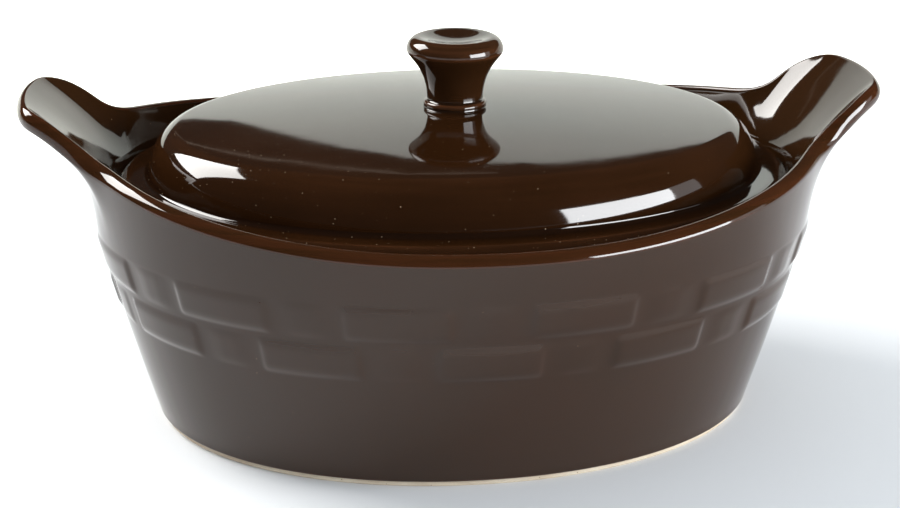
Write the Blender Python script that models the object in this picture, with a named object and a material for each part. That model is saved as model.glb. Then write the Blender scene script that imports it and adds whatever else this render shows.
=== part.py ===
# Oval covered casserole: a stoneware dish with two ears, its bare foot ring, a lid and a knob.
# Metres, +Z up, X along the length, origin on the table under the middle of the dish.

import math

import bmesh
import bpy
import numpy as np
from mathutils import Vector, geometry

# Plan shape shared by the dish, the foot ring and the lid: a superellipse, 2 is a plain ellipse
OVAL_POWER = 2.05

# Dish, outside
FOOT_LENGTH = 0.2304
FOOT_WIDTH = 0.1688
RIM_LENGTH = 0.2738
RIM_WIDTH = 0.2184
RIM_HEIGHT = 0.0945
WALL_BULGE = 0.0008
BASE_BEVEL = 0.0010

# Lip: a wide round up over the outside of the whole rim, and a tight one down to the inside.
# Its angles are counted from straight out of the wall towards straight up along it.
LIP_HEIGHT = 0.0032
LIP_RADIUS = 0.0038
LIP_INNER_RADIUS = 0.0012
LIP_START = math.radians(25)
LIP_CREST = math.radians(107)
LIP_END = math.radians(190)

# The rim climbs towards both ends, and an ear stands out of it at each end
END_RISE = 0.0146
END_RISE_POWER = 2.4
EAR_REACH = 0.0205
EAR_REACH_SQUARENESS = 8.0
EAR_RISE = 0.0123
EAR_RISE_SQUARENESS = 13.0
EAR_WIDTH = 0.0710
EAR_REACH_CURVE = 3.1
EAR_RISE_CURVE = 1.05

# The lip swells along the edge of each ear
SWELL_WIDTH = 0.0860
SWELL_SQUARENESS = 6.0
LIP_SWELL = 0.55

# Raised band round the wall: two courses of splint pads, over one and under one
BAND_DROP = 0.0177
COURSE_HEIGHT = 0.0150
COURSE_GAP = 0.0010
PAD_COUNT = 12
PAD_GAP = 0.0230
PAD_PROUD = 0.0010
PAD_BEVEL = 0.0015

# Dish, inside
WALL_THICKNESS = 0.0080
FLOOR_THICKNESS = 0.0060
FLOOR_FILLET = 0.0120
KNEE_RISE = 0.0210
SEAT_DEPTH = 0.0080
SEAT_INSET = 0.0090
SEAT_WIDTH = 0.0086
SEAT_EDGE = 0.0008

# Bend of the inside between the lip and the seat, as shares of the way out and up: a cove along the
# sides, and a slope that leans out with each ear. Lower down it follows the rim's average over a stretch.
COVE_OUT = 0.70
COVE_UP = 0.32
SLOPE_OUT = 0.26
SLOPE_UP = 0.57
SLOPE_WIDTH = 0.1000
SLOPE_SQUARENESS = 4.0
SOFT_TURNS = (-0.18, -0.12, -0.06, 0.0, 0.06, 0.12, 0.18)

# Foot ring
FOOT_RING_HEIGHT = 0.0020
FOOT_RING_WIDTH = 0.0070
FOOT_RING_INSET = 0.0003
FOOT_RING_BEVEL = 0.0005

# Lid
LID_CLEARANCE = 0.0012
SKIRT_CLEARANCE = 0.0015
SKIRT_DEPTH = 0.0070
SKIRT_WALL = 0.0050
BRIM_WIDTH = 0.0118
BRIM_THICKNESS = 0.0062
BRIM_ROUND = 0.0020
BRIM_SLOPE_POWER = 1.35
BRIM_FILLET = 0.0010
LID_WALL = 0.0055
DOME_SIDE = 0.0012
SHOULDER_WIDTH = 0.0118
SHOULDER_HEIGHT = 0.0143
CROWN_RISE = 0.0062

# Knob
KNOB_DIAMETER = 0.0358
KNOB_NECK_DIAMETER = 0.0207
KNOB_BASE_DIAMETER = 0.0234
KNOB_BEAD_HEIGHT = 0.0023
KNOB_HEIGHT = 0.0260
KNOB_EDGE_HEIGHT = 0.0048
KNOB_EDGE_WIDTH = 0.0044
KNOB_DISH_DEPTH = 0.0022
NECK_STRAIGHT = 0.67
NECK_FLARE_UP = 0.855

# Gap left between pieces that rest on each other
JOINT_GAP = 0.0003

# Fineness of the meshes: columns round each piece, and steps along its curves
LID_COLUMNS = 72
RING_COLUMNS = 64
KNOB_COLUMNS = 36
CURVE_STEPS = 5
LIP_STEPS = 4
EAR_ROWS = 6
EAR_COLUMNS = (0.75, 0.88, 1.12, 1.26)
CROWN_SHARES = (0.75, 0.45, 0.18)
KNOB_DISH_SHARES = (0.70, 0.35)
FRAME_STEP = 0.001

# Heights and half sizes that follow from the above
base_level = FOOT_RING_HEIGHT + JOINT_GAP
floor_level = base_level + FLOOR_THICKNESS
lip_level = RIM_HEIGHT - LIP_HEIGHT
seat_level = RIM_HEIGHT - SEAT_DEPTH
fillet_level = floor_level + FLOOR_FILLET
knee_level = fillet_level + KNEE_RISE
band_top = RIM_HEIGHT - BAND_DROP
band_middle = band_top - COURSE_HEIGHT - COURSE_GAP / 2
band_bottom = band_top - 2 * COURSE_HEIGHT - COURSE_GAP
foot_half = np.array([FOOT_LENGTH / 2, FOOT_WIDTH / 2])
rim_half = np.array([RIM_LENGTH / 2, RIM_WIDTH / 2])


def rounded(value, power):
    """A cosine or sine bent so that a circle becomes a superellipse of this power."""
    return np.sign(value) * np.abs(value) ** (2 / power)


def oval(angles, half):
    """Points of the plan oval with the given half length and half width."""
    x = half[0] * rounded(np.cos(angles), OVAL_POWER)
    y = half[1] * rounded(np.sin(angles), OVAL_POWER)
    return x, y


def flat_ring(angles, half, level):
    """One level ring of points."""
    x, y = oval(angles, half)
    return np.stack([x, y, np.full_like(x, level)], axis=1)


def ramp(share, start, power):
    """Zero up to start, then a curve that reaches one where share is one."""
    return np.clip((share - start) / (1 - start), 0, 1) ** power


def wall_share(level):
    """How far up the outer wall a level is: 0 at the base, 1 under the lip."""
    return (level - base_level) / (lip_level - base_level)


def wall_half(share):
    """Half length and half width of the outer wall, before the ears."""
    return foot_half + (rim_half - foot_half) * share + WALL_BULGE * 4 * share * (1 - share)


def bump(y, width, squareness):
    """One along the middle of an ear, a half at its edges, falling smoothly to zero beside it."""
    return 1 / (1 + np.abs(2 * y / width) ** squareness)


def outer_ring(angles, share):
    """Ring of the outer wall, with the climb of the rim and the flare of the ears above the band."""
    half = wall_half(share)
    x, y = oval(angles, half)
    flare_start = wall_share(band_top)
    climb = END_RISE * np.abs(x / half[0]) ** END_RISE_POWER
    climb += EAR_RISE * bump(y, EAR_WIDTH, EAR_RISE_SQUARENESS)
    reach = EAR_REACH * bump(y, EAR_WIDTH, EAR_REACH_SQUARENESS) * np.sign(x)
    z = base_level + share * (lip_level - base_level) + climb * ramp(share, flare_start, EAR_RISE_CURVE)
    return np.stack([x + reach * ramp(share, flare_start, EAR_REACH_CURVE), y, z], axis=1)


def unit(vectors):
    return vectors / np.linalg.norm(vectors, axis=1, keepdims=True)


def rim_frame(angles):
    """Top of the outer wall, with its directions up along the wall and out of it."""
    top = outer_ring(angles, 1.0)
    up = unit(top - outer_ring(angles, 1.0 - FRAME_STEP))
    along = unit(outer_ring(angles + FRAME_STEP, 1.0) - outer_ring(angles - FRAME_STEP, 1.0))
    return top, up, np.cross(along, up)


def dish_columns():
    """Angles of the dish's columns, and which of them are on the pads of each course.

    There is a column at the middle and at each edge of each pad, and more round the ears' corners.
    Places along the wall are counted in pad pitches, evenly by length.
    """
    fine = np.linspace(0, 2 * math.pi, 4001)
    x, y = oval(fine, wall_half(wall_share(band_middle)))
    length = np.concatenate([[0], np.cumsum(np.hypot(np.diff(x), np.diff(y)))])
    pitch = length[-1] / PAD_COUNT
    half_pad = (1 - PAD_GAP / pitch) / 2
    bevel = PAD_BEVEL / pitch
    one_pad = np.array([0, half_pad - bevel, half_pad, 1 - half_pad, 1 - half_pad + bevel])
    stops = np.mod(np.concatenate([one_pad, one_pad + 0.5]), 1.0)
    places = (np.arange(PAD_COUNT)[:, None] + stops[None, :]).ravel()

    quarter = fine <= math.pi / 2
    corner = np.interp(np.array(EAR_COLUMNS) * EAR_WIDTH / 2, y[quarter], length[quarter])
    total = length[-1]
    extra = np.concatenate([corner, total / 2 - corner, total / 2 + corner, total - corner]) / pitch
    nearest = np.abs(extra[:, None] - places[None, :]).min(axis=1)
    places = np.sort(np.concatenate([places, extra[nearest * pitch > PAD_BEVEL]]))
    apart = np.diff(places, prepend=places[-1] - PAD_COUNT) * pitch > PAD_BEVEL / 2
    places = places[apart]
    raised = [np.abs(np.mod(places - offset + 0.5, 1.0) - 0.5) < half_pad - bevel / 2
              for offset in (0, 0.5)]
    return np.interp(places * pitch, length, fine), raised


def wall_rings(angles, raised):
    """The outer wall from the base bevel to the lip, with the raised pads of the band."""
    rings = [outer_ring(angles, wall_share(base_level + BASE_BEVEL))]
    rings.append(outer_ring(angles, wall_share((base_level + band_bottom) / 2)))
    for bottom, on_pad in zip((band_bottom, band_top - COURSE_HEIGHT), raised):
        top = bottom + COURSE_HEIGHT
        rings.append(outer_ring(angles, wall_share(bottom)))
        for level in (bottom + PAD_BEVEL, top - PAD_BEVEL):
            ring = outer_ring(angles, wall_share(level))
            ring[:, :2] += unit(ring[:, :2]) * (PAD_PROUD * on_pad)[:, None]
            rings.append(ring)
        rings.append(outer_ring(angles, wall_share(top)))
    for share in np.linspace(wall_share(band_top), 1.0, EAR_ROWS + 1)[1:]:
        rings.append(outer_ring(angles, share))
    return rings


def lip_rings(angles):
    """The rounded lip: a wide arc from the top of the wall to the crest, then a tight one to the inside."""
    top, up, out = rim_frame(angles)
    swell = 1 + LIP_SWELL * bump(top[:, 1], SWELL_WIDTH, SWELL_SQUARENESS)[:, None]
    wide, tight = LIP_RADIUS * swell, LIP_INNER_RADIUS * swell

    def facing(turn):
        return math.cos(turn) * out + math.sin(turn) * up

    centre = top - wide * facing(LIP_START)
    inner_centre = centre + (wide - tight) * facing(LIP_CREST)
    rings = [centre + wide * facing(turn) for turn in np.linspace(LIP_START, LIP_CREST, LIP_STEPS)[1:]]
    rings += [inner_centre + tight * facing(turn) for turn in np.linspace(LIP_CREST, LIP_END, LIP_STEPS)[1:]]
    return rings


def seat_half():
    """Half sizes of the wall beside the lid's seat, well inside the lip so that the lid lifts past it."""
    return wall_half(wall_share(seat_level)) - SEAT_INSET


def opening_half():
    """Half sizes of the mouth inside the seat."""
    return seat_half() - SEAT_WIDTH


def inner_rings(angles, lip_end):
    """From the lip down to the seat, over its edge, and down the inner wall to the floor."""
    seat_corner = flat_ring(angles, seat_half(), seat_level)
    soft_end = sum(lip_rings(angles + turn)[-1] for turn in SOFT_TURNS) / len(SOFT_TURNS)
    on_ear = bump(seat_corner[:, 1], SLOPE_WIDTH, SLOPE_SQUARENESS)
    out = COVE_OUT + (SLOPE_OUT - COVE_OUT) * on_ear
    up = COVE_UP + (SLOPE_UP - COVE_UP) * on_ear
    bend = seat_corner + (soft_end - seat_corner) * np.stack([out, out, up], axis=1)
    rings = []
    for step in np.linspace(0, 1, CURVE_STEPS + 1)[1:]:
        rings.append(lip_end * (1 - step) ** 2 + bend * 2 * step * (1 - step) + seat_corner * step ** 2)
    rings.append(flat_ring(angles, opening_half() + SEAT_EDGE, seat_level))
    rings.append(flat_ring(angles, opening_half(), seat_level - SEAT_EDGE))
    knee = wall_half(wall_share(knee_level)) - WALL_THICKNESS
    rings.append(flat_ring(angles, knee, knee_level))
    low = wall_half(wall_share(fillet_level)) - WALL_THICKNESS
    for turn in np.linspace(0, math.pi / 2, CURVE_STEPS):
        inset = FLOOR_FILLET * (1 - math.cos(turn))
        rings.append(flat_ring(angles, low - inset, fillet_level - FLOOR_FILLET * math.sin(turn)))
    return rings


def loft(name, rings, closed):
    """A mesh object through rings of points: closed on itself, or with both ends capped."""
    body = bmesh.new()
    loops = [[body.verts.new(point) for point in ring] for ring in rings]
    count = len(loops[0])
    pairs = list(zip(loops, loops[1:]))
    if closed:
        pairs.append((loops[-1], loops[0]))
    else:
        body.faces.new(loops[0])
        body.faces.new(loops[-1])
    for lower, upper in pairs:
        for i in range(count):
            j = (i + 1) % count
            body.faces.new([lower[i], lower[j], upper[j], upper[i]])
    return finish(name, body)


def finish(name, body):
    """Turn the faces outwards, shade them smooth and put the mesh in the scene."""
    bmesh.ops.recalc_face_normals(body, faces=body.faces)
    mesh = bpy.data.meshes.new(name)
    body.to_mesh(mesh)
    body.free()
    mesh.shade_smooth()
    mesh.set_sharp_from_angle(angle=math.radians(40))
    piece = bpy.data.objects.new(name, mesh)
    bpy.context.scene.collection.objects.link(piece)
    return piece


def make_dish():
    angles, raised = dish_columns()
    base = foot_half - BASE_BEVEL
    rings = [flat_ring(angles, base, base_level)]
    rings += wall_rings(angles, raised)
    rings += lip_rings(angles)
    rings += inner_rings(angles, rings[-1])
    return loft("dish", rings, closed=False)


def make_foot_ring():
    angles = np.linspace(0, 2 * math.pi, RING_COLUMNS, endpoint=False)
    outer = foot_half - BASE_BEVEL - FOOT_RING_INSET
    inner = outer - FOOT_RING_WIDTH
    bevel = FOOT_RING_BEVEL
    rings = [
        flat_ring(angles, inner + bevel, 0),
        flat_ring(angles, outer - bevel, 0),
        flat_ring(angles, outer, bevel),
        flat_ring(angles, outer, FOOT_RING_HEIGHT),
        flat_ring(angles, inner, FOOT_RING_HEIGHT),
        flat_ring(angles, inner, bevel)]
    return loft("foot_ring", rings, closed=True)


def dome_ring(angles, half, side, level):
    """Ring of a dome: its level, and a bulge that grows from none at the side to full in the middle."""
    ring = flat_ring(angles, half, level)
    away = (np.abs(ring[:, :2] / side) ** OVAL_POWER).sum(axis=1) ** (2 / OVAL_POWER)
    ring[:, 2] += CROWN_RISE * (1 - away)
    return ring


def dome_rings(angles, side, level, width, height):
    """Dome on an upright side: a quarter round shoulder, then the crown drawn in towards its middle."""
    rings = []
    for turn in np.linspace(0, math.pi / 2, CURVE_STEPS + 1):
        inset = width * (1 - math.cos(turn))
        rings.append(dome_ring(angles, side - inset, side, level + height * math.sin(turn)))
    for share in CROWN_SHARES:
        rings.append(dome_ring(angles, (side - width) * share, side, level + height))
    return rings


def make_lid():
    """The lid about its seat: level 0 is the face that rests on the dish."""
    angles = np.linspace(0, 2 * math.pi, LID_COLUMNS, endpoint=False)
    brim = seat_half() - LID_CLEARANCE
    dome = brim - BRIM_WIDTH
    skirt = opening_half() - SKIRT_CLEARANCE
    skirt_inner = skirt - SKIRT_WALL
    dome_inner = np.minimum(dome - LID_WALL, skirt_inner)
    side_top = BRIM_THICKNESS + DOME_SIDE
    inner_width = SHOULDER_WIDTH - LID_WALL / 2
    inner_height = SHOULDER_HEIGHT - LID_WALL

    inside = dome_rings(angles, dome_inner, side_top, inner_width, inner_height)[::-1]
    inside.append(flat_ring(angles, dome_inner, BRIM_THICKNESS))
    inside.append(flat_ring(angles, skirt_inner, 0))
    inside.append(flat_ring(angles, skirt_inner, -SKIRT_DEPTH))
    inside.append(flat_ring(angles, skirt, -SKIRT_DEPTH))
    # edge of the brim: a quarter round below, and above it a bulging slope up to the flat of the brim
    edge = [flat_ring(angles, skirt, 0)]
    for turn in np.linspace(-math.pi / 2, 0, CURVE_STEPS // 2 + 1):
        inset = BRIM_ROUND * (1 - math.cos(turn))
        edge.append(flat_ring(angles, brim - inset, BRIM_ROUND * (1 + math.sin(turn))))
    slope = BRIM_THICKNESS - BRIM_ROUND
    for turn in np.linspace(0, math.pi / 2, CURVE_STEPS)[1:]:
        inset = slope * (1 - math.cos(turn) ** (2 / BRIM_SLOPE_POWER))
        rise = slope * math.sin(turn) ** (2 / BRIM_SLOPE_POWER)
        edge.append(flat_ring(angles, brim - inset, BRIM_ROUND + rise))
    outside = []
    for turn in np.linspace(0, math.pi / 2, CURVE_STEPS - 1):
        away = BRIM_FILLET * (1 - math.sin(turn))
        outside.append(flat_ring(angles, dome + away, BRIM_THICKNESS + BRIM_FILLET * (1 - math.cos(turn))))
    outside += dome_rings(angles, dome, side_top, SHOULDER_WIDTH, SHOULDER_HEIGHT)
    crown_top = side_top + SHOULDER_HEIGHT + CROWN_RISE
    return loft("lid", inside + edge + outside, closed=False), crown_top


def knob_profile():
    """Radius and height of the knob from the middle of its base, round to the middle of its top."""
    base = KNOB_BASE_DIAMETER / 2
    neck = KNOB_NECK_DIAMETER / 2
    wide = KNOB_DIAMETER / 2
    rim = wide - KNOB_EDGE_WIDTH
    bead = KNOB_BEAD_HEIGHT / 2
    points = [(0, 0), (base - bead, 0)]
    for turn in np.linspace(-math.pi / 3, math.pi / 2, CURVE_STEPS):
        points.append((base - bead + bead * math.cos(turn), bead + bead * math.sin(turn)))
    start = (neck, KNOB_BEAD_HEIGHT + bead)
    end = (wide, KNOB_HEIGHT - KNOB_EDGE_HEIGHT)
    low_bend = (neck, start[1] + NECK_STRAIGHT * (end[1] - start[1]))
    high_bend = (wide, start[1] + NECK_FLARE_UP * (end[1] - start[1]))
    points += geometry.interpolate_bezier(
        Vector(start), Vector(low_bend), Vector(high_bend), Vector(end), CURVE_STEPS + 2)
    for turn in np.linspace(0, math.pi / 2, CURVE_STEPS)[1:]:
        points.append((rim + KNOB_EDGE_WIDTH * math.cos(turn), end[1] + KNOB_EDGE_HEIGHT * math.sin(turn)))
    for share in KNOB_DISH_SHARES:
        points.append((rim * share, KNOB_HEIGHT - KNOB_DISH_DEPTH * (1 - share ** 2)))
    points.append((0, KNOB_HEIGHT - KNOB_DISH_DEPTH))
    return points


def make_knob():
    body = bmesh.new()
    verts = [body.verts.new((radius, 0, height)) for radius, height in knob_profile()]
    edges = [body.edges.new(pair) for pair in zip(verts, verts[1:])]
    bmesh.ops.spin(
        body, geom=verts + edges, axis=(0, 0, 1), cent=(0, 0, 0), angle=2 * math.pi,
        steps=KNOB_COLUMNS, use_merge=True)
    bmesh.ops.remove_doubles(body, verts=body.verts, dist=0.00001)
    return finish("knob", body)


def make_material(name, colour, roughness):
    material = bpy.data.materials.new(name)
    material.use_nodes = True
    shader = material.node_tree.nodes["Principled BSDF"]
    shader.inputs["Base Color"].default_value = (*colour, 1)
    shader.inputs["Roughness"].default_value = roughness
    shader.inputs["Metallic"].default_value = 0
    return material


def main():
    for old in list(bpy.data.objects):
        bpy.data.objects.remove(old)
    dish = make_dish()
    foot_ring = make_foot_ring()
    lid, crown_top = make_lid()
    knob = make_knob()

    # The lid and its knob hang on an empty on the line along which they lift
    lift = bpy.data.objects.new("lid_lift", None)
    bpy.context.scene.collection.objects.link(lift)
    lift.location = (0, 0, seat_level + JOINT_GAP)
    lid.parent = lift
    knob.parent = lift
    knob.location = (0, 0, crown_top + JOINT_GAP)

    brown_glaze = (0.030, 0.013, 0.008)
    dish.data.materials.append(make_material("dish_glaze", brown_glaze, 0.08))
    lid.data.materials.append(make_material("lid_glaze", brown_glaze, 0.06))
    knob.data.materials.append(make_material("knob_glaze", brown_glaze, 0.06))
    foot_ring.data.materials.append(make_material("bare_clay", (0.68, 0.58, 0.45), 0.85))


main()
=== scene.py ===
import math

import bpy
import numpy as np
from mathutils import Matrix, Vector


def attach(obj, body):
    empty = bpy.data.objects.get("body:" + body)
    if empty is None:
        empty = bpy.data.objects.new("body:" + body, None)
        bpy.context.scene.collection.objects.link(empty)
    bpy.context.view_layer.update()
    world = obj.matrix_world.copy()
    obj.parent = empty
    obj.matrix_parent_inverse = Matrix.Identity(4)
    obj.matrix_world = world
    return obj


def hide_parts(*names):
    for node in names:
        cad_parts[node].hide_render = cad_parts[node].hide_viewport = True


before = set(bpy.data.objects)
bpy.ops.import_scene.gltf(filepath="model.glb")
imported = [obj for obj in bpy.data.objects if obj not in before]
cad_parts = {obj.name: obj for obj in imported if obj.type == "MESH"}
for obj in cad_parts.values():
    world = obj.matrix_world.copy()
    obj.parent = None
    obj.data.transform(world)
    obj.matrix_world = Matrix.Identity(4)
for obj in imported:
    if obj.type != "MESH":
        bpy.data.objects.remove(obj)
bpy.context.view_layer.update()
print("frame loaded:", ", ".join(sorted(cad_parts)))


# ring, dish and lid share one plan oval (power 2 would be a plain ellipse) and one gap where pieces meet
plan = {"power": 2.05, "gap": 0.0003}


# a cosine or sine raised to 2/power with its sign kept, which bends a circle into a superellipse
def bent(wave, power):
    return np.sign(wave) * np.abs(wave) ** (2 / power)


# level rings: row i is the plan oval with half sizes halves[i], lying at height levels[i]
def ovalRings(turns, halves, levels):
    halves = np.atleast_2d(halves)
    x = halves[:, :1] * bent(np.cos(turns), plan["power"])
    y = halves[:, 1:] * bent(np.sin(turns), plan["power"])
    z = np.zeros_like(x) + np.reshape(levels, (-1, 1))
    return np.stack([x, y, z], axis=2)


# half sizes that follow a run of insets or shares, one row each
def spread(start, change, amounts):
    return np.asarray(start) + np.reshape(amounts, (-1, 1)) * np.asarray(change)


# smooth step: 0 below low, 1 above high, with level ends
def easeIn(value, low, high):
    share = np.clip((value - low) / (high - low), 0, 1)
    return share * share * (3 - 2 * share)


# places along a line, closer together where the weight is high: the running sum of the weight, read
# backwards
def weighted(line, weight, count, closed):
    total = np.concatenate([[0], np.cumsum((weight[1:] + weight[:-1]) / 2 * np.diff(line))])
    return np.interp(np.linspace(0, total[-1], count, endpoint=not closed), total, line)


# values in even steps from start to end, without the first
def onward(start, end, steps):
    return np.linspace(start, end, steps + 1)[1:]


# angles of a quarter round in even steps, without the first
def quarter(steps):
    return np.radians(onward(0, 90, steps))


def unit(vectors):
    return vectors / np.maximum(np.linalg.norm(vectors, axis=-1, keepdims=True), 1e-12)


# how sharply a grid bends, per metre: second differences along rows and columns, measured along its normal.
# Above zero the surface is an outer corner, below zero a hollow.
def bending(grid, hoop):
    around = np.concatenate([grid[:, -1:], grid, grid[:, :1]], axis=1)
    ends = (grid[-1:], grid[:1]) if hoop else (grid[:1], grid[-1:])
    along = np.concatenate([ends[0], grid, ends[1]], axis=0)
    normal = unit(np.cross(around[:, 2:] - around[:, :-2], along[2:] - along[:-2]))

    def oneWay(before, here, after):
        back = np.maximum(np.linalg.norm(here - before, axis=2), 1e-6)
        on = np.maximum(np.linalg.norm(after - here, axis=2), 1e-6)
        turn = (after - here) / on[..., None] - (here - before) / back[..., None]
        return -(turn * normal).sum(axis=2) / ((back + on) / 2)

    return oneWay(around[:, :-2], grid, around[:, 2:]) + oneWay(along[:-2], grid, along[2:])


# bending, per metre, at which the glaze mask has gone three quarters of its way
glazeBendScale = 450


# a grid of rows and columns as a closed mesh: quads between rows, the last column joined to the first,
# and a fan to a middle point at each end, or the last row joined to the first for a hoop
def closedSkin(name, grid, hoop=False, calm=None):
    rows, cols = grid.shape[:2]
    number = np.arange(rows * cols).reshape(rows, cols)
    beside = np.roll(number, -1, axis=1)
    if hoop:
        over, overBeside = np.roll(number, -1, axis=0), np.roll(beside, -1, axis=0)
        quads = np.stack([number, beside, overBeside, over], axis=2).reshape(-1, 4)
        fans = np.zeros((0, 3), int)
        points = grid.reshape(-1, 3)
    else:
        quads = np.stack([number[:-1], beside[:-1], beside[1:], number[1:]], axis=2).reshape(-1, 4)
        first = np.full(cols, rows * cols)
        fans = np.concatenate([np.stack([beside[0], number[0], first], axis=1),
                               np.stack([number[-1], beside[-1], first + 1], axis=1)])
        points = np.concatenate([grid.reshape(-1, 3), [grid[0].mean(axis=0), grid[-1].mean(axis=0)]])

    mesh = bpy.data.meshes.new(name)
    mesh.vertices.add(len(points))
    mesh.vertices.foreach_set("co", points.astype(np.float32).ravel())
    mesh.loops.add(quads.size + fans.size)
    mesh.loops.foreach_set("vertex_index", np.concatenate([quads.ravel(), fans.ravel()]).astype(np.int32))
    starts = np.concatenate([np.arange(len(quads)) * 4, quads.size + np.arange(len(fans)) * 3])
    mesh.polygons.add(len(starts))
    mesh.polygons.foreach_set("loop_start", starts.astype(np.int32))
    mesh.update(calc_edges=True)
    mesh.validate()
    mesh.shade_smooth()

    # 0.5 on a flat, towards 1 on outer corners where glaze runs thin, towards 0 in hollows where it
    # gathers; read from a calmer grid where the glaze runs over the relief rather than following it
    bend = np.zeros(len(points))
    bend[:rows * cols] = bending(grid if calm is None else calm, hoop).ravel()
    layer = mesh.attributes.new("glazeBend", "FLOAT", "POINT")
    layer.data.foreach_set("value", (0.5 + 0.5 * np.tanh(bend / glazeBendScale)).astype(np.float32))

    piece = bpy.data.objects.new(name, mesh)
    bpy.context.scene.collection.objects.link(piece)
    return piece


# Foot ring: bare clay, a low hoop under the dish
footRing = {
    "height": 0.0020, "width": 0.0070, "inset": 0.0003, "round": 0.0007, "steps": 36, "columns": 320}

# Dish: outside, lip and inside. The lip's turns run from straight out of the wall towards straight up it.
# Steps count the rows of each stretch, and a middle is the innermost ring's share of the way out.
dish = {
    "footSize": (0.2304, 0.1688), "rimSize": (0.2738, 0.2184), "rimHeight": 0.0945,
    "bulge": 0.0008, "baseRound": 0.0010,
    "lipHeight": 0.0032, "lipRadius": 0.0038, "lipInner": 0.0012, "lipTurns": (25, 107, 190),
    "wallThick": 0.0080, "floorThick": 0.0060, "floorFillet": 0.0120, "kneeRise": 0.0210,
    "seatDepth": 0.0080, "seatInset": 0.0090, "seatWidth": 0.0086, "seatRound": 0.0009,
    "cove": (0.70, 0.70, 0.32), "slope": (0.26, 0.26, 0.57), "slopeWidth": 0.1000, "slopeSquare": 4.0,
    "softTurn": 0.18, "softSamples": 7, "underMiddle": 0.08, "floorMiddle": 0.06, "seatStart": 0.06,
    "steps": {"under": 5, "baseRound": 5, "flare": 21, "lip": 15, "lipInner": 11, "scoop": 19, "seat": 5,
              "seatRound": 5, "wall": 8, "lowWall": 6, "fillet": 10, "floor": 6}, "columns": 504}

# Ears: the rim climbs to both ends, and an ear leans out and up from each
ear = {
    "endRise": 0.0146, "endPower": 2.4, "width": 0.0670,
    "reach": 0.0207, "reachSquare": 10.4, "reachCurve": 3.1, "rise": 0.0129, "riseSquare": 14.6,
    "swellWidth": 0.0768, "swellSquare": 6.0, "lipSwell": 0.22}

# Band: two courses of splints, each over one stake and under the next
band = {
    "drop": 0.0177, "course": 0.0150, "seam": 0.0010, "splints": 12, "gap": 0.0230, "proud": 0.0008,
    "soft": 0.0017, "pillow": 0.0002, "stake": 0.0004, "stakeInset": 0.0040, "calm": 0.12, "samples": 20001}

baseLevel = footRing["height"] + plan["gap"]
floorLevel = baseLevel + dish["floorThick"]
lipLevel = dish["rimHeight"] - dish["lipHeight"]
seatLevel = dish["rimHeight"] - dish["seatDepth"]
filletLevel = floorLevel + dish["floorFillet"]
kneeLevel = filletLevel + dish["kneeRise"]
bandTop = dish["rimHeight"] - band["drop"]
bandMiddle = bandTop - band["course"] - band["seam"] / 2
bandBottom = bandTop - 2 * band["course"] - band["seam"]
footHalf = np.array(dish["footSize"]) / 2
rimHalf = np.array(dish["rimSize"]) / 2


def wallShare(level):
    return (level - baseLevel) / (lipLevel - baseLevel)


# half sizes of the outer wall: straight from foot to rim with a shallow parabola of bulge
def wallHalf(share):
    share = np.reshape(share, (-1, 1))
    return footHalf + (rimHalf - footHalf) * share + dish["bulge"] * 4 * share * (1 - share)


# 1 across the middle of an ear, a half at its edges, falling to 0 beside it
def acrossEar(y, width, square):
    return 1 / (1 + np.abs(2 * y / width) ** square)


# outer wall: the oval of each level; above the band its ends climb with |x| to a power and each ear adds
# a bump across y, leaning out with about the cube of the way up and rising evenly
def outerWall(turns, shares):
    shares = np.reshape(shares, (-1, 1))
    halves = wallHalf(shares)
    rings = ovalRings(turns, halves, baseLevel + shares * (lipLevel - baseLevel))
    x, y = rings[..., 0].copy(), rings[..., 1]
    flare = np.clip((shares - wallShare(bandTop)) / (1 - wallShare(bandTop)), 0, 1)
    climb = ear["endRise"] * np.abs(x / halves[:, :1]) ** ear["endPower"]
    climb += ear["rise"] * acrossEar(y, ear["width"], ear["riseSquare"])
    lean = ear["reach"] * acrossEar(y, ear["width"], ear["reachSquare"]) * np.sign(x)
    rings[..., 0] += lean * flare ** ear["reachCurve"]
    rings[..., 2] += climb * flare
    return rings


# length round the wall at the middle of the band, and the pitch and half length of a splint along it
turnLine = np.linspace(0, 2 * math.pi, band["samples"])
bandOval = ovalRings(turnLine, wallHalf(wallShare(bandMiddle)), 0)[0]
wallLine = np.concatenate([[0], np.cumsum(np.linalg.norm(np.diff(bandOval, axis=0), axis=1))])
pitch = wallLine[-1] / band["splints"]
splintHalf = (pitch - band["gap"]) / 2


# signed distance to the middle of the nearest splint of a course, the upper course half a pitch on
def fromSplint(length, course):
    return (np.mod(length / pitch - course / 2 + 0.5, 1) - 0.5) * pitch


# how far the band stands out: a splint is the product of a soft step in from its ends and one in from its
# edges, with a slight pillow along it; a lower stake shows between two splints of a course
def bandRelief(length, level):
    relief = np.zeros(np.broadcast(length, level).shape)
    for course in (0, 1):
        low = bandBottom + course * (band["course"] + band["seam"])
        fromEdge = band["course"] / 2 - np.abs(level - low - band["course"] / 2)
        away = np.abs(fromSplint(length, course))
        ends = easeIn(splintHalf - away, 0, 2 * band["soft"])
        edges = easeIn(fromEdge, 0, 2 * band["soft"])
        pillow = band["pillow"] * (1 - np.minimum(away / splintHalf, 1) ** 2)
        relief = np.maximum(relief, (band["proud"] + pillow) * ends * edges)
        inGap = easeIn(away - splintHalf - band["stakeInset"], 0, 2 * band["soft"])
        relief = np.maximum(relief, band["stake"] * inGap * edges)
    return relief


# Crowding of the dish's columns and rows, each a width and a weight: at the splints' ends and edges and at
# the ears' corners; the band's rows are closer throughout
crowd = {
    "width": 0.0016, "ends": 4, "edges": 7, "cornerWidth": 0.0080, "corners": 2,
    "inBand": 1, "underBand": 0.004, "overBand": 0.002, "samples": 2001, "rows": 58}


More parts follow.
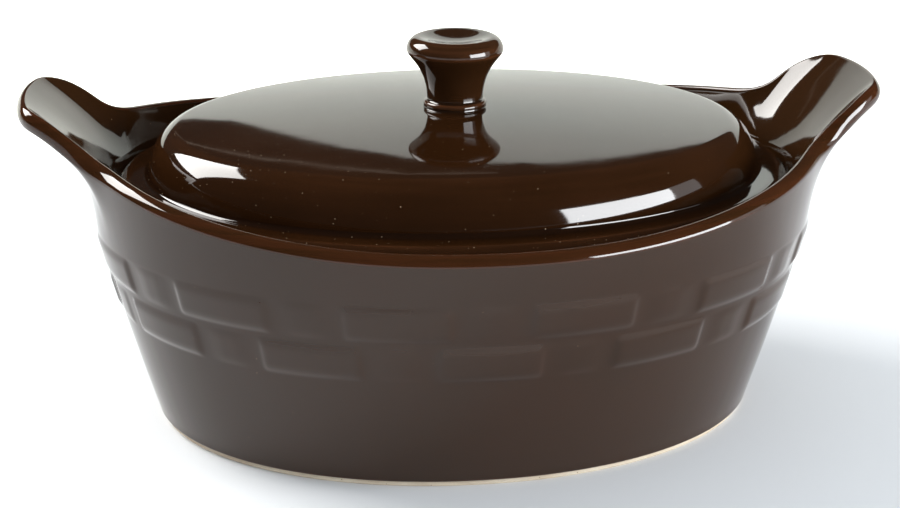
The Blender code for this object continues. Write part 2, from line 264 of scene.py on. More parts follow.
# columns of the dish: even by length round the wall, closer at the splints' ends and the ears' corners
def dishColumns():
    fromEnds = np.min([np.abs(np.abs(fromSplint(wallLine, course)) - splintHalf + band["soft"])
                       for course in (0, 1)], axis=0)
    fromCorner = np.abs(np.abs(bandOval[:, 1]) - ear["width"] / 2)
    weight = (1 + crowd["ends"] * np.exp(-(fromEnds / crowd["width"]) ** 2)
              + crowd["corners"] * np.exp(-(fromCorner / crowd["cornerWidth"]) ** 2))
    lengths = weighted(wallLine, weight, dish["columns"], True)
    return np.interp(lengths, wallLine, turnLine), lengths


# wall rows: even up the wall, closer in the band and closest at the edges of its two courses
def wallRows():
    line = np.linspace(baseLevel + dish["baseRound"], bandTop + crowd["overBand"], crowd["samples"])
    edges = bandBottom + np.array([0, band["course"], band["course"] + band["seam"], bandTop - bandBottom])
    fromEdge = np.abs(line[:, None] - edges).min(axis=1)
    inBand = easeIn(line, bandBottom - crowd["underBand"], bandBottom)
    weight = 1 + crowd["inBand"] * inBand + crowd["edges"] * np.exp(-(fromEdge / crowd["width"]) ** 2)
    return weighted(line, weight, crowd["rows"], False)


# the lip, in the plane of up and out at the top of the wall: a wide arc to the crest, and from there a
# tight arc, its centre on the same line, down to the inside
def lipRows(turns):
    step = 0.001
    top = outerWall(turns, 1.0)
    up = unit(top - outerWall(turns, 1.0 - step))
    along = unit(outerWall(turns + step, 1.0) - outerWall(turns - step, 1.0))
    out = unit(np.cross(along, up))
    up = np.cross(out, along)   # square to the rim
    swell = 1 + ear["lipSwell"] * acrossEar(top[..., 1:2], ear["swellWidth"], ear["swellSquare"])
    wide, tight = dish["lipRadius"] * swell, dish["lipInner"] * swell

    def facing(turn):
        return np.cos(turn) * out + np.sin(turn) * up

    start, crest, end = np.radians(dish["lipTurns"])
    centre = top - wide * facing(start)
    innerCentre = centre + (wide - tight) * facing(crest)
    over = onward(start, crest, dish["steps"]["lip"])[:, None, None]
    down = onward(crest, end, dish["steps"]["lipInner"])[:, None, None]
    return np.concatenate([centre + wide * facing(over), innerCentre + tight * facing(down)])


seatHalf = wallHalf(wallShare(seatLevel))[0] - dish["seatInset"]
mouthHalf = seatHalf - dish["seatWidth"]


# inside: a curve with one bend point from the lip to the seat, the flat seat, its rounded edge, the inner
# wall, and a quarter round down to the floor. The bend point is a share of the way from the seat to the
# lip's average over a stretch, which makes a cove along the sides and a slope under each ear.
def insideRows(turns, lipEnd):
    steps = dish["steps"]
    corner = ovalRings(turns, seatHalf, seatLevel)
    stretch = np.linspace(-1, 1, dish["softSamples"]) * dish["softTurn"]
    softEnd = np.mean([lipRows(turns + shift)[-1:] for shift in stretch], axis=0)
    onEar = acrossEar(corner[..., 1:2], dish["slopeWidth"], dish["slopeSquare"])
    share = np.array(dish["cove"]) * (1 - onEar) + np.array(dish["slope"]) * onEar
    bendPoint = corner + (softEnd - corner) * share
    way = onward(0, 1, steps["scoop"])[:, None, None]
    scoop = lipEnd * (1 - way) ** 2 + bendPoint * 2 * way * (1 - way) + corner * way ** 2

    inward = np.linspace(dish["seatStart"], 1, steps["seat"] + 1) * (dish["seatWidth"] - dish["seatRound"])
    seat = ovalRings(turns, spread(seatHalf, (-1, -1), inward), seatLevel)
    turn = quarter(steps["seatRound"])
    edge = ovalRings(turns, spread(mouthHalf, (1, 1), dish["seatRound"] * (1 - np.sin(turn))),
                     seatLevel - dish["seatRound"] * (1 - np.cos(turn)))

    kneeHalf = wallHalf(wallShare(kneeLevel))[0] - dish["wallThick"]
    lowHalf = wallHalf(wallShare(filletLevel))[0] - dish["wallThick"]
    edgeLevel = seatLevel - dish["seatRound"]
    levels = np.concatenate([onward(edgeLevel, kneeLevel, steps["wall"]),
                             onward(kneeLevel, filletLevel, steps["lowWall"])])
    shape = np.stack([np.interp(levels, (filletLevel, kneeLevel, edgeLevel), (low, knee, mouth))
                      for low, knee, mouth in zip(lowHalf, kneeHalf, mouthHalf)], axis=1)
    wall = ovalRings(turns, shape, levels)
    turn = quarter(steps["fillet"])
    fillet = ovalRings(turns, spread(lowHalf, (-1, -1), dish["floorFillet"] * (1 - np.cos(turn))),
                       filletLevel - dish["floorFillet"] * np.sin(turn))
    shares = onward(1, dish["floorMiddle"], steps["floor"])
    floor = ovalRings(turns, spread((0, 0), lowHalf - dish["floorFillet"], shares), floorLevel)
    return np.concatenate([scoop, seat, edge, wall, fillet, floor])


def makeDish():
    steps = dish["steps"]
    turns, lengths = dishColumns()
    shares = np.linspace(dish["underMiddle"], 1, steps["under"] + 1)
    under = ovalRings(turns, spread((0, 0), footHalf - dish["baseRound"], shares), baseLevel)
    levels = wallRows()
    wall = outerWall(turns, wallShare(levels))
    side = wall[..., :2] / wallHalf(wallShare(levels))[:, None, :] ** 2   # outward in plan
    relief = np.zeros_like(wall)
    relief[..., :2] = unit(side) * bandRelief(lengths, levels[:, None])[..., None]

    # the foot's rounded edge, moved out to where the wall starts
    turn = quarter(steps["baseRound"])[:-1]
    foot = outerWall(turns, wallShare(baseLevel + dish["baseRound"]))[0]
    rounding = ovalRings(turns, spread(footHalf, (-1, -1), dish["baseRound"] * (1 - np.sin(turn))), 0)
    rounding[..., 2] = (baseLevel + dish["baseRound"] * (1 - np.cos(turn)))[:, None]
    rounding[..., :2] += (foot[:, :2] - ovalRings(turns, footHalf, 0)[0, :, :2])

    flare = outerWall(turns, onward(wallShare(levels[-1]), 1, steps["flare"]))
    lip = lipRows(turns)
    inside = insideRows(turns, lip[-1:])
    grid = np.concatenate([under, rounding, wall + relief, flare, lip, inside])
    calm = np.concatenate([under, rounding, wall + relief * band["calm"], flare, lip, inside])
    return closedSkin("dishBody", grid, calm=calm)


# foot ring section: a rectangle with its four corners rounded, carried round the foot
def makeFootRing():
    turns = np.linspace(0, 2 * math.pi, footRing["columns"], endpoint=False)
    outer = footHalf - dish["baseRound"] - footRing["inset"]
    turn = np.radians(np.linspace(-90, 270, footRing["steps"], endpoint=False))
    side, up = np.cos(turn), np.sin(turn)
    flatWidth = footRing["width"] / 2 - footRing["round"]
    flatHeight = footRing["height"] / 2 - footRing["round"]
    across = np.sign(np.round(side, 6)) * flatWidth + side * footRing["round"]
    level = np.sign(np.round(up, 6)) * flatHeight + up * footRing["round"] + footRing["height"] / 2
    rings = ovalRings(turns, spread(outer - footRing["width"] / 2, (1, 1), across), level)
    return closedSkin("footRingClay", rings, hoop=True)


dishBody = makeDish()
ringBody = makeFootRing()
print("dish and foot ring made:", len(dishBody.data.polygons), "and", len(ringBody.data.polygons), "faces")


# Lid: level 0 is the face that rests on the seat
lid = {
    "clearance": 0.0012, "skirtClearance": 0.0015, "skirtDepth": 0.0070, "skirtWall": 0.0050,
    "skirtMiddle": 0.0040, "rootRound": 0.0010, "round": 0.0010, "wall": 0.0055,
    "brimWidth": 0.0118, "brimThick": 0.0062, "brimRound": 0.0020, "slopePower": 1.35, "cove": 0.0018,
    "side": -0.0009, "shoulderWidth": 0.0118, "shoulderHeight": 0.0164, "crownRise": 0.0062,
    "underShares": (0.4, 0.7), "topShares": (0.35, 0.7), "crownMiddle": 0.02,
    "steps": {"shoulder": 24, "crown": 22, "throat": 6, "skirt": 2, "bottom": 12, "root": 5, "foot": 6,
              "edge": 19, "cove": 15}, "columns": 360}

lidLevel = seatLevel + plan["gap"]
sideTop = lid["brimThick"] + lid["side"]
crownTop = lidLevel + sideTop + lid["shoulderHeight"] + lid["crownRise"]


# how far the crown's bulge lifts each point: one minus the square of the way out in the side's oval
def crownLift(rows, side):
    way = (np.abs(rows[..., :2] / side) ** plan["power"]).sum(axis=2) ** (2 / plan["power"])
    return lid["crownRise"] * np.maximum(1 - way, 0)


# dome: a quarter round shoulder in from an upright side, from a height above the side's top, then rings
# drawn in to the middle
def domeRows(turns, side, width, height, start=0.0):
    turn = np.linspace(math.asin(start / height), math.pi / 2, lid["steps"]["shoulder"] + 1)
    crown = onward(1, lid["crownMiddle"], lid["steps"]["crown"])
    inward = np.concatenate([width * (1 - np.cos(turn)), np.full_like(crown, width)])
    share = np.concatenate([np.ones_like(turn), crown])
    levels = sideTop + np.concatenate([height * np.sin(turn), np.full_like(crown, height)])
    rows = ovalRings(turns, (side - inward[:, None]) * share[:, None], levels)
    rows[..., 2] += crownLift(rows, side)
    return rows


# lid from the middle of its hollow, down the skirt, round the brim and up over the dome to the crown
def makeLid():
    steps = lid["steps"]
    turns = np.linspace(0, 2 * math.pi, lid["columns"], endpoint=False)
    brim = seatHalf - lid["clearance"]
    dome = brim - lid["brimWidth"]
    skirt = mouthHalf - lid["skirtClearance"]
    skirtInner = skirt - lid["skirtWall"]
    domeInner = np.minimum(dome - lid["wall"], skirtInner)
    hollow = domeRows(turns, domeInner, lid["shoulderWidth"] - lid["wall"] / 2,
                      lid["shoulderHeight"] - lid["wall"])[::-1]
    way = onward(0, 1, steps["throat"])[:, None]
    throat = ovalRings(turns, domeInner + (skirtInner - domeInner) * easeIn(way, 0, 1),
                       sideTop * (1 - way[:, 0]))
    levels = np.linspace(-lid["rootRound"], lid["round"] - lid["skirtDepth"], steps["skirt"] + 1)
    inner = ovalRings(turns, np.repeat(skirtInner[None], len(levels), axis=0), levels)

    # the skirt's bottom edge is rounded on both sides, and a hollow round joins its root to the brim
    turn = np.radians(onward(0, 180, steps["bottom"]))
    middle, halfWall = (skirt + skirtInner) / 2, lid["skirtWall"] / 2 - lid["round"]
    across = -np.sign(np.round(np.cos(turn), 6)) * halfWall - np.cos(turn) * lid["round"]
    bottom = ovalRings(turns, spread(middle, (1, 1), across),
                       lid["round"] - lid["skirtDepth"] - lid["round"] * np.sin(turn))
    outer = ovalRings(turns, np.repeat(skirt[None], 2, axis=0), (-lid["skirtMiddle"], -lid["rootRound"]))
    turn = quarter(steps["root"])
    root = ovalRings(turns, spread(skirt, (1, 1), lid["rootRound"] * (1 - np.cos(turn))),
                     -lid["rootRound"] + lid["rootRound"] * np.sin(turn))
    under = ovalRings(turns, spread(skirt, brim - lid["brimRound"] - skirt, lid["underShares"]), 0)

    # the brim's edge: a small quarter round below and a flattened superellipse, almost a slope, above
    turn = np.radians(np.linspace(-90, 0, steps["foot"] + 1))
    foot = ovalRings(turns, spread(brim, (-1, -1), lid["brimRound"] * (1 - np.cos(turn))),
                     lid["brimRound"] * (1 + np.sin(turn)))
    turn = quarter(steps["edge"])
    slope = lid["brimThick"] - lid["brimRound"]
    edge = ovalRings(turns, spread(brim, (-1, -1), slope * (1 - bent(np.cos(turn), lid["slopePower"]))),
                     lid["brimRound"] + slope * bent(np.sin(turn), lid["slopePower"]))
    top = ovalRings(turns, spread(brim - slope, dome + lid["cove"] - brim + slope, lid["topShares"]),
                    lid["brimThick"])

    # cove: a hollow quarter round from the brim up to the dome, added to the shoulder's own inset at each
    # height
    turn = np.radians(np.linspace(0, 90, steps["cove"] + 1))
    up, out = lid["cove"] * (1 - np.cos(turn)), lid["cove"] * (1 - np.sin(turn))
    onShoulder = np.maximum(up - lid["side"], 0) / lid["shoulderHeight"]
    out -= lid["shoulderWidth"] * (1 - np.sqrt(1 - onShoulder ** 2))
    cove = ovalRings(turns, spread(dome, (1, 1), out), lid["brimThick"] + up)
    cove[..., 2] += crownLift(cove, dome)
    crown = domeRows(turns, dome, lid["shoulderWidth"], lid["shoulderHeight"],
                     lid["cove"] - lid["side"])[1:]
    grid = np.concatenate([hollow, throat, inner, bottom, outer, root, under, foot, edge, top, cove, crown])
    grid[..., 2] += lidLevel
    return closedSkin("lidBody", grid)


# Knob: a turned profile with a bead at its foot, a waist, a flared head and a dished top
knob = {
    "wide": 0.0358, "neck": 0.0207, "base": 0.0234, "bead": 0.0023, "beadFrom": -25, "root": 0.0005,
    "sink": 0.00012, "height": 0.0260,
    "edgeHeight": 0.0048, "edgeWidth": 0.0044, "dishing": 0.0022, "dishPower": 1.5,
    "neckLean": 0.0006, "neckStraight": 0.67, "neckFlareUp": 0.855, "underMiddle": 0.1, "dishMiddle": 0.05,
    "steps": {"under": 3, "root": 6, "bead": 13, "neck": 33, "edge": 16, "dish": 12}, "columns": 160}


# radius and height along the profile: a hollow curve with one bend point up from the lid, an arc for the
# bead, a cubic with two bend points for waist and flare, a quarter ellipse over the edge and a shallow dish
# on top
def makeKnob():
    steps = knob["steps"]
    base, neck, wide = knob["base"] / 2, knob["neck"] / 2, knob["wide"] / 2
    beadHalf, rim = knob["bead"] / 2, wide - knob["edgeWidth"]
    turn = np.radians(np.linspace(knob["beadFrom"], 90, steps["bead"] + 1))
    beadRadius, beadHeight = base - beadHalf + beadHalf * np.cos(turn), beadHalf * (1 + np.sin(turn))
    root, sink = base + knob["root"], plan["gap"] + knob["sink"]
    way = np.linspace(0, 1, steps["root"], endpoint=False)
    radii = [np.linspace(knob["underMiddle"], 1, steps["under"], endpoint=False) * root,
             root * (1 - way) ** 2 + beadRadius[0] * (1 - (1 - way) ** 2), beadRadius]
    heights = [np.full(steps["under"], -sink), beadHeight[0] * way ** 2 - sink * (1 - way ** 2), beadHeight]
    low, high = knob["bead"] + beadHalf, knob["height"] - knob["edgeHeight"]
    way = np.linspace(0, 1, steps["neck"] + 1)
    mix = np.stack([(1 - way) ** 3, 3 * way * (1 - way) ** 2, 3 * way ** 2 * (1 - way), way ** 3])
    radii.append(np.array([neck, neck + knob["neckLean"], wide, wide]) @ mix)
    bends = low + np.array([0, knob["neckStraight"], knob["neckFlareUp"], 1]) * (high - low)
    heights.append(bends @ mix)
    turn = quarter(steps["edge"])
    radii.append(rim + knob["edgeWidth"] * np.cos(turn))
    heights.append(high + knob["edgeHeight"] * np.sin(turn))
    share = onward(1, knob["dishMiddle"], steps["dish"])
    radii.append(rim * share)
    heights.append(knob["height"] - knob["dishing"] * (1 - share ** 2) ** knob["dishPower"])
    radius, height = np.concatenate(radii)[:, None], np.concatenate(heights)[:, None]
    turns = np.linspace(0, 2 * math.pi, knob["columns"], endpoint=False)
    level = np.broadcast_to(height + crownTop + plan["gap"], (len(height), knob["columns"]))
    return closedSkin("knobBody", np.stack([radius * np.cos(turns), radius * np.sin(turns), level], axis=2))


lidBody = makeLid()
knobBody = makeKnob()
print("lid and knob made:", len(lidBody.data.polygons), "and", len(knobBody.data.polygons), "faces")

for piece, body, node, slotName in (
        (dishBody, "dish", "dish", "dish_glaze"), (ringBody, "dish", "foot_ring", "bare_clay"),
        (lidBody, "lid", "lid", "lid_glaze"), (knobBody, "lid", "knob", "knob_glaze")):
    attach(piece, body)
    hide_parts(node)


# one node with its settings, and values or links for its inputs by name or number
def addNode(tree, kind, inputs=None, **settings):
    node = tree.nodes.new(kind)
    for key, value in settings.items():
        setattr(node, key, value)
    for key, value in (inputs or {}).items():
        if isinstance(value, bpy.types.NodeSocket):
            tree.links.new(value, node.inputs[key])
        else:
            node.inputs[key].default_value = value
    return node


def mathNode(tree, operation, first, second=0.0, third=0.0, clamp=False):
    inputs = {0: first, 1: second, 2: third}
    return addNode(tree, "ShaderNodeMath", inputs, operation=operation, use_clamp=clamp).outputs[0]


def mixColour(tree, factor, first, second):
    node = addNode(tree, "ShaderNodeMix", {0: factor, 6: first, 7: second}, data_type="RGBA")
    return node.outputs[2]


def noiseNode(tree, place, scale, detail):
    inputs = {"Vector": place, "Scale": scale, "Detail": detail}
    return addNode(tree, "ShaderNodeTexNoise", inputs).outputs[0]


def rangeNode(tree, value, low, high, toLow=0.0, toHigh=1.0, easing="LINEAR"):
    inputs = {0: value, 1: low, 2: high, 3: toLow, 4: toHigh}
    return addNode(tree, "ShaderNodeMapRange", inputs, interpolation_type=easing).outputs[0]


def newMaterial(name):
    material = bpy.data.materials.new(name)
    material.use_nodes = True
    return material, material.node_tree


def newGroup(name, inputs, outputs):
    group = bpy.data.node_groups.new(name, "ShaderNodeTree")
    for title, kind in inputs:
        group.interface.new_socket(name=title, in_out="INPUT", socket_type=kind)
    for title, kind in outputs:
        group.interface.new_socket(name=title, in_out="OUTPUT", socket_type=kind)
    return group, group.nodes.new("NodeGroupInput").outputs, group.nodes.new("NodeGroupOutput").inputs


# Glaze: what all three looks share. Scales are per metre, and a range gives where a mask starts and ends,
# and then the values that it runs between if they aren't 0 and 1.
glazeFinish = {
    "driftScale": 26, "streakScale": (22, 22, 640), "streakRange": (0.36, 0.64, 0.25, 1.25),
    "thinRange": (0.53, 0.95), "veilRange": (0.40, 0.75, 0.0, 0.16),
    "deep": (0.006, 0.0025, 0.0014), "deepRange": (0.48, 0.15, 0.0, 0.55),
    "speck": (0.34, 0.25, 0.16), "cellScale": 520, "speckSize": (0.05, 0.11), "speckEdge": 0.03,
    "speckRough": 0.3, "speckDimple": 0.12, "speckWay": (-0.75, -0.66, 0), "speckSpan": (-0.02, 0.11),
    "glossRange": (0.3, 0.7, 0.045, 0.075), "waveScale": 48, "peelScale": 420, "peel": 0.05,
    "ior": 1.46, "bump": 0.045, "bumpDistance": 0.0010}

# each look's colours, and its share of cells with a speck at the back right and at the front left
glazes = {
    "dishGlaze": {"body": (0.024, 0.0094, 0.0026), "break": (0.046, 0.0140, 0.0050),
                  "specks": (0.008, 0.014)},
    "lidGlaze": {"body": (0.018, 0.0064, 0.0019), "break": (0.048, 0.017, 0.0060),
                 "specks": (0.06, 0.70)},
    "knobGlaze": {"body": (0.020, 0.0078, 0.0026), "break": (0.050, 0.018, 0.0070),
                  "specks": (0.004, 0.006)}}


# glaze: a deep body colour that breaks to a redder one where it runs thin, gathers darker in hollows,
# drifts in tone over some centimetres and carries a few pale specks
def makeGlazeGroup():
    tree, given, result = newGroup(
        "pooledGlaze",
        [("Place", "NodeSocketVector"), ("Bend", "NodeSocketFloat"), ("Body", "NodeSocketColor"),
         ("Break", "NodeSocketColor"), ("Speck", "NodeSocketColor"), ("Specks", "NodeSocketFloat")],
        [("Colour", "NodeSocketColor"), ("Roughness", "NodeSocketFloat"), ("Height", "NodeSocketFloat")])
    drift = noiseNode(tree, given["Place"], glazeFinish["driftScale"], 4)
    # long level streaks: a noise drawn out along the rim
    level = addNode(tree, "ShaderNodeVectorMath", {
        0: given["Place"], 1: glazeFinish["streakScale"]}, operation="MULTIPLY")
    streak = noiseNode(tree, level.outputs[0], 1, 3)
    thin = rangeNode(tree, given["Bend"], *glazeFinish["thinRange"])
    ragged = mathNode(tree, "MULTIPLY", thin, rangeNode(tree, streak, *glazeFinish["streakRange"]))
    veil = rangeNode(tree, drift, *glazeFinish["veilRange"])
    broken = mixColour(tree, mathNode(tree, "ADD", ragged, veil, clamp=True), given["Body"], given["Break"])
    gathered = rangeNode(tree, given["Bend"], *glazeFinish["deepRange"])
    deep = mixColour(tree, gathered, broken, (*glazeFinish["deep"], 1))

    cells = addNode(tree, "ShaderNodeTexVoronoi", {
        "Vector": given["Place"], "Scale": glazeFinish["cellScale"]})
    chance = addNode(tree, "ShaderNodeSeparateColor", {0: cells.outputs["Color"]})
    kept = mathNode(tree, "LESS_THAN", chance.outputs[0], given["Specks"])
    size = rangeNode(tree, chance.outputs[1], 0, 1, *glazeFinish["speckSize"])
    inside = mathNode(tree, "SUBTRACT", size, cells.outputs["Distance"])
    spot = rangeNode(tree, inside, 0, glazeFinish["speckEdge"])
    speck = mathNode(tree, "MULTIPLY", spot, kept, clamp=True)
    tree.links.new(mixColour(tree, speck, deep, given["Speck"]), result["Colour"])

    gloss = rangeNode(tree, drift, *glazeFinish["glossRange"])
    rough = mathNode(tree, "MULTIPLY_ADD", speck, glazeFinish["speckRough"], gloss, clamp=True)
    tree.links.new(rough, result["Roughness"])

    # the fired skin: slow waves, a faint orange peel, and a dimple at each speck
    wave = noiseNode(tree, given["Place"], glazeFinish["waveScale"], 2)
    peel = noiseNode(tree, given["Place"], glazeFinish["peelScale"], 1)
    skin = mathNode(tree, "ADD", wave, mathNode(tree, "MULTIPLY", peel, glazeFinish["peel"]))
    dimple = mathNode(tree, "MULTIPLY", speck, glazeFinish["speckDimple"])
    tree.links.new(mathNode(tree, "SUBTRACT", skin, dimple), result["Height"])
    return tree


glazeGroup = makeGlazeGroup()


def makeGlaze(name):
    look = glazes[name]
    material, tree = newMaterial(name)
    shader = tree.nodes["Principled BSDF"]
    place = addNode(tree, "ShaderNodeTexCoord").outputs["Object"]
    bend = addNode(tree, "ShaderNodeAttribute", attribute_name="glazeBend").outputs["Fac"]
    # specks gather towards the front left, along the level line that the dot product measures
    toLeft = addNode(tree, "ShaderNodeVectorMath", {
        0: place, 1: glazeFinish["speckWay"]}, operation="DOT_PRODUCT")
    specks = rangeNode(tree, toLeft.outputs["Value"], *glazeFinish["speckSpan"], *look["specks"])
    coat = addNode(tree, "ShaderNodeGroup", {
        "Place": place, "Bend": bend, "Body": (*look["body"], 1), "Break": (*look["break"], 1),
        "Speck": (*glazeFinish["speck"], 1), "Specks": specks}, node_tree=glazeGroup)
    bump = addNode(tree, "ShaderNodeBump", {
        "Strength": glazeFinish["bump"], "Distance": glazeFinish["bumpDistance"],
        "Height": coat.outputs["Height"]})
    tree.links.new(coat.outputs["Colour"], shader.inputs["Base Color"])
    tree.links.new(coat.outputs["Roughness"], shader.inputs["Roughness"])
    tree.links.new(bump.outputs[0], shader.inputs["Normal"])
    shader.inputs["IOR"].default_value = glazeFinish["ior"]
    return material


# Bare clay: cream with a warmer drift, sandy grain and a few dark grains of iron. Ranges as for the glaze.
clay = {
    "pale": (0.62, 0.54, 0.42), "warm": (0.50, 0.40, 0.29), "grain": (0.20, 0.13, 0.08),
    "driftScale": 60, "warmRange": (0.35, 0.7), "roughRange": (0.3, 0.7, 0.78, 0.92),
    "sandScale": 1500, "sandRange": (0.35, 0.75, 0, 0.35),
    "cellScale": 650, "ironRange": (0.10, 0.16, 1, 0), "ironShare": 0.12,
    "bump": 0.35, "bumpDistance": 0.0003}


def makeClay():
    material, tree = newMaterial("bareClay")
    shader = tree.nodes["Principled BSDF"]
    place = addNode(tree, "ShaderNodeTexCoord").outputs["Object"]
    drift = noiseNode(tree, place, clay["driftScale"], 4)
    sand = noiseNode(tree, place, clay["sandScale"], 2)
    cells = addNode(tree, "ShaderNodeTexVoronoi", {"Vector": place, "Scale": clay["cellScale"]})
    iron = rangeNode(tree, cells.outputs["Distance"], *clay["ironRange"])
    chance = addNode(tree, "ShaderNodeSeparateColor", {0: cells.outputs["Color"]})
    rare = mathNode(tree, "LESS_THAN", chance.outputs[0], clay["ironShare"])
    warmth = rangeNode(tree, drift, *clay["warmRange"])
    tone = mixColour(tree, warmth, (*clay["pale"], 1), (*clay["warm"], 1))
    sandy = mixColour(tree, rangeNode(tree, sand, *clay["sandRange"]), tone, (*clay["warm"], 1))
    colour = mixColour(tree, mathNode(tree, "MULTIPLY", iron, rare), sandy, (*clay["grain"], 1))
    bump = addNode(tree, "ShaderNodeBump", {
        "Strength": clay["bump"], "Distance": clay["bumpDistance"], "Height": sand})
    tree.links.new(colour, shader.inputs["Base Color"])
    tree.links.new(rangeNode(tree, drift, *clay["roughRange"]), shader.inputs["Roughness"])
    tree.links.new(bump.outputs[0], shader.inputs["Normal"])
    return material


dishBody.data.materials.append(makeGlaze("dishGlaze"))
lidBody.data.materials.append(makeGlaze("lidGlaze"))
knobBody.data.materials.append(makeGlaze("knobGlaze"))
ringBody.data.materials.append(makeClay())
print("glazes and clay made")


# the direction at a level turn from the front and a tilt above the table, both in degrees
def wayTo(turn, tilt):
    turn, tilt = math.radians(turn), math.radians(tilt)
    return Vector((math.sin(turn) * math.cos(tilt), -math.cos(turn) * math.cos(tilt), math.sin(tilt)))


# Camera: azimuth and elevation of the photograph, the shift to the point that lands in the middle of its
# frame, and the focal length in pixels of a frame that many pixels wide
camera = {
    "turn": -7.03, "tilt": 19.93, "distance": 0.63338, "target": (0, 0, 0.060),
    "aside": (-0.00184, -0.00414), "focal": 1649.76, "frame": 900, "sensor": 36, "clip": (0.02, 30)}


def makeCamera():
    turn = math.radians(camera["turn"])
    back = wayTo(camera["turn"], camera["tilt"])
    right = Vector((math.cos(turn), math.sin(turn), 0))
    up = back.cross(right)
    spot = Vector(camera["target"]) + back * camera["distance"]
    aim = Vector(camera["target"]) + right * camera["aside"][0] + up * camera["aside"][1]
    lens = bpy.data.cameras.new("photoCamera")
    lens.sensor_width = camera["sensor"]
    lens.lens = camera["sensor"] * camera["focal"] / camera["frame"]
    lens.clip_start, lens.clip_end = camera["clip"]
    eye = bpy.data.objects.new("photoCamera", lens)
    eye.location = spot
    eye.rotation_euler = (aim - spot).to_track_quat("-Z", "Y").to_euler()
    bpy.context.scene.collection.objects.link(eye)
    bpy.context.scene.camera = eye


makeCamera()

# Studio: a white sweep with a low humped back, a key box behind on the left, a window-like box in front on
# the right with a narrower box beside it, and a thin ribbon above the sweep's back. Each box is two lamps:
# one that is only mirrored in the glaze and one that only lights.
studio = {
    "sweepWidth": 7.0, "sweepFront": -2.6, "sweepMiddle": -0.5, "sweepBack": 0.70, "bend": 0.20,
    "bendSteps": 16, "sweepColumns": 281,
    "hump": ((-3.5, 0.21), (-0.40, 0.21), (-0.20, 0.24), (-0.124, 0.300), (-0.08, 0.382),
             (-0.035, 0.446), (0.039, 0.512), (0.115, 0.537), (0.193, 0.542), (0.259, 0.514),
             (0.309, 0.465), (0.38, 0.42), (0.55, 0.38), (3.5, 0.38)),
    "paper": (0.86, 0.87, 0.88), "backPaper": (0.84, 0.845, 0.775), "whiteFrom": 0.28, "whiteTo": 0.52,
    "fill": 0.70, "fillColour": (0.88, 0.94, 1.0), "dark": 0.03,
    "boxes": [
        {"name": "keyBox", "turn": -121, "tilt": 36, "away": 1.35, "size": (0.80, 0.68),
         "glow": 17.0, "lit": 14.0, "colour": (1.0, 0.985, 0.955)},
        {"name": "windowBox", "turn": 48.5, "tilt": 9, "away": 1.35, "size": (0.95, 0.56),
         "glow": 23.0, "lit": 9.0, "colour": (0.95, 0.975, 1.0)},
        {"name": "sideBox", "turn": 75, "tilt": 10, "away": 1.35, "size": (0.34, 0.50),
         "glow": 1.8, "lit": 20.0, "colour": (0.95, 0.975, 1.0)}],
    "ribbon": {"line": ((-0.24, 0.30), (-0.154, 0.412), (-0.111, 0.466), (-0.039, 0.531), (0.039, 0.577),
                        (0.093, 0.586), (0.14, 0.586)),
               "wide": 0.0045, "behind": 0.01, "columns": 81, "glow": 0.9, "colour": (1.0, 0.84, 0.70)},
    "lightsAt": (0, 0, 0.10)}


# a sheet of the stage from a grid of points, with an empty material whose nodes are given back
def stageSheet(name, grid):
    rows, cols = grid.shape[:2]
    number = np.arange(rows * cols).reshape(rows, cols)
    quads = np.stack([number[:-1, :-1], number[:-1, 1:], number[1:, 1:], number[1:, :-1]], axis=2)
    mesh = bpy.data.meshes.new(name)
    mesh.from_pydata(grid.reshape(-1, 3).tolist(), [], quads.reshape(-1, 4).tolist())
    mesh.shade_smooth()
    sheet = bpy.data.objects.new(name, mesh)
    bpy.context.scene.collection.objects.link(sheet)
    material, tree = newMaterial(name)
    tree.nodes.clear()
    mesh.materials.append(material)
    return tree


# sweep: a floor, a quarter round and an upright back as one profile, carried straight across. Its far part
# also glows, for the camera alone, so that it is pure white there.
def makeSweep():
    radius = studio["bend"]
    turn = np.radians(np.linspace(0, 90, studio["bendSteps"] + 1))
    depth = np.concatenate([[studio["sweepFront"], studio["sweepMiddle"]],
                            studio["sweepBack"] - radius + radius * np.sin(turn), [studio["sweepBack"]]])
    level = np.concatenate([[0, 0], radius * (1 - np.cos(turn)), [radius]])
    across = np.linspace(-0.5, 0.5, studio["sweepColumns"]) * studio["sweepWidth"]
    x, y = np.meshgrid(across, depth)
    z = np.repeat(level[:, None], len(across), axis=1)
    z[-1] = np.interp(across, *np.transpose(studio["hump"]))
    tree = stageSheet("sweep", np.stack([x, y, z], axis=2))
    place = addNode(tree, "ShaderNodeTexCoord").outputs["Object"]
    depthHere = addNode(tree, "ShaderNodeSeparateXYZ", {0: place}).outputs[1]
    far = rangeNode(tree, depthHere, studio["whiteFrom"], studio["whiteTo"], easing="SMOOTHSTEP")
    toCamera = addNode(tree, "ShaderNodeLightPath").outputs["Is Camera Ray"]
    tint = mixColour(tree, far, (*studio["paper"], 1), (*studio["backPaper"], 1))
    paper = addNode(tree, "ShaderNodeBsdfDiffuse", {"Color": tint})
    white = addNode(tree, "ShaderNodeEmission", {
        "Color": (1, 1, 1, 1), "Strength": mathNode(tree, "MULTIPLY", far, toCamera)})
    both = addNode(tree, "ShaderNodeAddShader", {0: paper.outputs[0], 1: white.outputs[0]})
    # a camera behind the sweep looks through it
    behind = addNode(tree, "ShaderNodeNewGeometry").outputs["Backfacing"]
    shown = addNode(tree, "ShaderNodeMixShader", {
        0: mathNode(tree, "MULTIPLY", behind, toCamera), 1: both.outputs[0],
        2: addNode(tree, "ShaderNodeBsdfTransparent").outputs[0]})
    addNode(tree, "ShaderNodeOutputMaterial", {0: shown.outputs[0]})


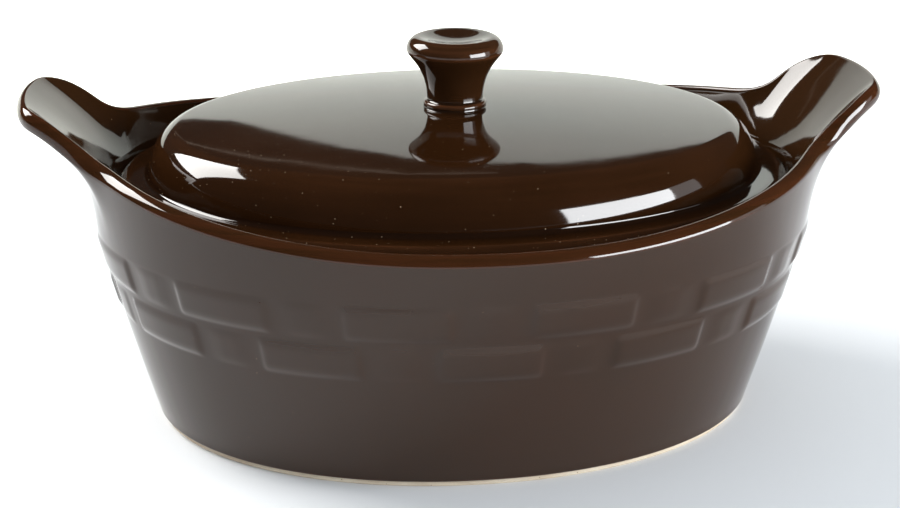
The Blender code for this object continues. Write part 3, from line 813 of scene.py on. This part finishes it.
# ribbon: a narrow sheet along a bent line just behind the sweep, seen only where it is mirrored
def makeRibbon():
    ribbon = studio["ribbon"]
    across, heights = np.transpose(ribbon["line"])
    x = np.linspace(across[0], across[-1], ribbon["columns"])
    level = np.interp(x, across, heights)
    depth = np.full_like(x, studio["sweepBack"] + ribbon["behind"])
    tree = stageSheet("ribbon", np.stack([np.stack([x, depth, level], axis=1),
                                          np.stack([x, depth, level + ribbon["wide"]], axis=1)]))
    path = addNode(tree, "ShaderNodeLightPath")
    light = addNode(tree, "ShaderNodeEmission", {
        "Color": (*ribbon["colour"], 1), "Strength": ribbon["glow"]})
    shown = addNode(tree, "ShaderNodeMixShader", {
        0: path.outputs["Is Glossy Ray"], 1: addNode(tree, "ShaderNodeBsdfTransparent").outputs[0],
        2: light.outputs[0]})
    addNode(tree, "ShaderNodeOutputMaterial", {0: shown.outputs[0]})


# a flat lamp that faces the dish, placed by its turn from the front, its tilt and its distance; the watts
# are the glow of its face times pi times its area
def makeLamp(name, box, glow, mirrored):
    way = wayTo(box["turn"], box["tilt"])
    light = bpy.data.lights.new(name, "AREA")
    light.shape = "RECTANGLE"
    light.size, light.size_y = box["size"]
    light.energy = glow * math.pi * box["size"][0] * box["size"][1]
    light.color = box["colour"]
    lamp = bpy.data.objects.new(name, light)
    lamp.location = Vector(studio["lightsAt"]) + way * box["away"]
    lamp.rotation_euler = (-way).to_track_quat("-Z", "Y").to_euler()
    lamp.visible_glossy = mirrored
    lamp.visible_diffuse = not mirrored
    bpy.context.scene.collection.objects.link(lamp)


# world: a soft fill that lights, almost black where it is mirrored and white where the camera sees it
def makeWorld():
    world = bpy.data.worlds.new("studioWorld")
    world.use_nodes = True
    tree = world.node_tree
    tree.nodes.clear()
    path = addNode(tree, "ShaderNodeLightPath")
    fill = addNode(tree, "ShaderNodeBackground", {
        "Color": (*studio["fillColour"], 1), "Strength": studio["fill"]})
    dark = addNode(tree, "ShaderNodeBackground", {"Color": (1, 1, 1, 1), "Strength": studio["dark"]})
    white = addNode(tree, "ShaderNodeBackground", {"Color": (1, 1, 1, 1), "Strength": 1.0})
    mirrored = addNode(tree, "ShaderNodeMixShader", {
        0: path.outputs["Is Glossy Ray"], 1: fill.outputs[0], 2: dark.outputs[0]})
    seen = addNode(tree, "ShaderNodeMixShader", {
        0: path.outputs["Is Camera Ray"], 1: mirrored.outputs[0], 2: white.outputs[0]})
    addNode(tree, "ShaderNodeOutputWorld", {0: seen.outputs[0]})
    bpy.context.scene.world = world


makeSweep()
for box in studio["boxes"]:
    makeLamp(box["name"] + "Mirrored", box, box["glow"], True)
    makeLamp(box["name"], box, box["lit"], False)
makeRibbon()
makeWorld()
bpy.context.scene.view_settings.view_transform = "Standard"
print("studio and camera set")
